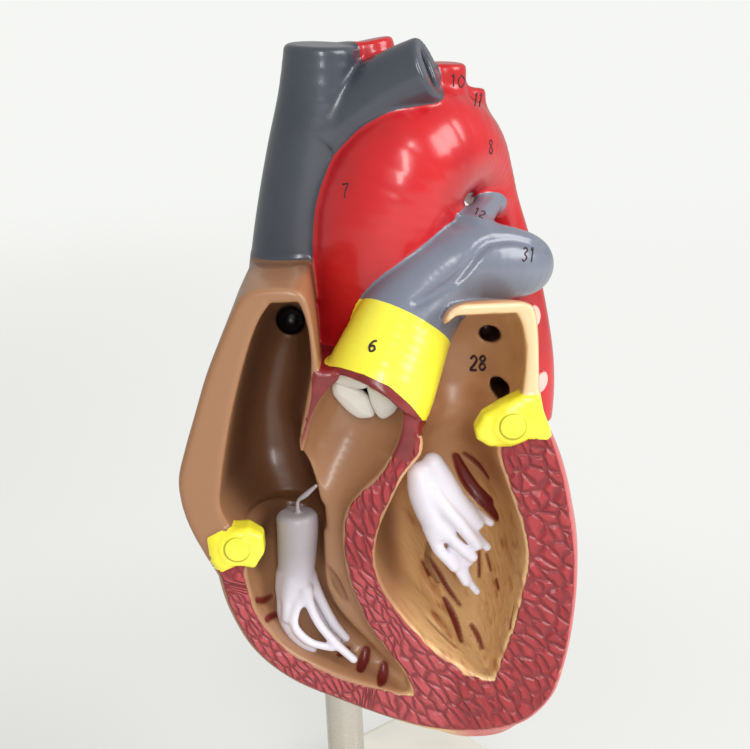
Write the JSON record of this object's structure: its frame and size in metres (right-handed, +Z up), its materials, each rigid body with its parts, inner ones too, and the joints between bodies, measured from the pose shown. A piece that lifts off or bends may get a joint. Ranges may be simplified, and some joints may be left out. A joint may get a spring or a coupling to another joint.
{
  "type": "human heart anatomy model",
  "caption": "Life-size heart model on a post and base, opened along a flat section to show chambers, walls and valves; it turns on the post and lifts off.",
  "frame": {"origin": "on the post's axis, at the underside of the feet", "axes": "+Z up along the post; the flat section face of the heart looks along -Y; +X is to the right for someone looking at the section"},
  "size_m": [0.1764, 0.1726, 0.2112],
  "materials": {
    "base_plastic": "smooth cream moulded plastic",
    "foot_rubber": "matt black",
    "post_steel": "brushed along its length",
    "bright_steel": "bright plated",
    "socket_plastic": "dark moulded plastic",
    "muscle_paint": "red cut muscle, pale glossy pink outside and skin tone in the chambers",
    "skin_paint": "painted skin tone, darker in the hollows",
    "yellow_paint": "glossy yellow",
    "light_grey_paint": "glossy light blue grey",
    "dark_grey_paint": "satin dark blue grey",
    "cusp_paint": "pale grey",
    "valve_paint": "glossy white",
    "red_paint": "glossy red"
  },
  "bodies": {
    "stand": {"base_plate": "base_plastic", "foot_1": "foot_rubber", "foot_2": "foot_rubber", "foot_3": "foot_rubber", "foot_4": "foot_rubber", "post_tube": "post_steel", "post_insert": "bright_steel", "post_screw": "bright_steel", "post_washer": "bright_steel", "post_cap": "socket_plastic"},
    "sleeve": {"socket_bush": "socket_plastic"},
    "heart": {"socket_cup": "socket_plastic", "right_ventricle_wall": "muscle_paint", "left_ventricle_wall": "muscle_paint", "septum": "muscle_paint", "right_atrium_wall": "skin_paint", "left_atrium_wall": "skin_paint", "outflow_rim": "muscle_paint", "pulmonary_ring": "yellow_paint", "pulmonary_trunk": "light_grey_paint", "right_pulmonary_artery": "light_grey_paint", "arterial_ligament": "light_grey_paint", "pulmonary_cusp_1": "cusp_paint", "pulmonary_cusp_2": "cusp_paint", "pulmonary_cusp_3": "cusp_paint", "ascending_aorta": "red_paint", "descending_aorta": "red_paint", "brachiocephalic_trunk": "red_paint", "left_carotid_artery": "red_paint", "left_subclavian_artery": "red_paint", "superior_vena_cava": "dark_grey_paint", "left_brachiocephalic_vein": "dark_grey_paint", "inferior_vena_cava": "dark_grey_paint", "pulmonary_vein_1": "red_paint", "pulmonary_vein_2": "red_paint", "pulmonary_vein_3": "red_paint", "pulmonary_vein_4": "red_paint", "tricuspid_valve": "valve_paint", "mitral_valve": "valve_paint", "right_fat_pad": "yellow_paint", "left_fat_pad": "yellow_paint", "magnet_right": "bright_steel", "magnet_left": "bright_steel", "coronary_sinus": "dark_grey_paint", "posterior_vein": "dark_grey_paint", "posterior_artery": "red_paint"}
  },
  "joints": [
    {"name": "heart_lift", "type": "slide", "parent": "stand", "child": "sleeve", "axis": [0, 0, 1], "range_m": [0, 0.03]},
    {"name": "heart_swivel", "type": "hinge", "parent": "sleeve", "child": "heart", "pos_m": [0, 0, 0.09], "axis": [0, 0, 1], "continuous": true}
  ]
}
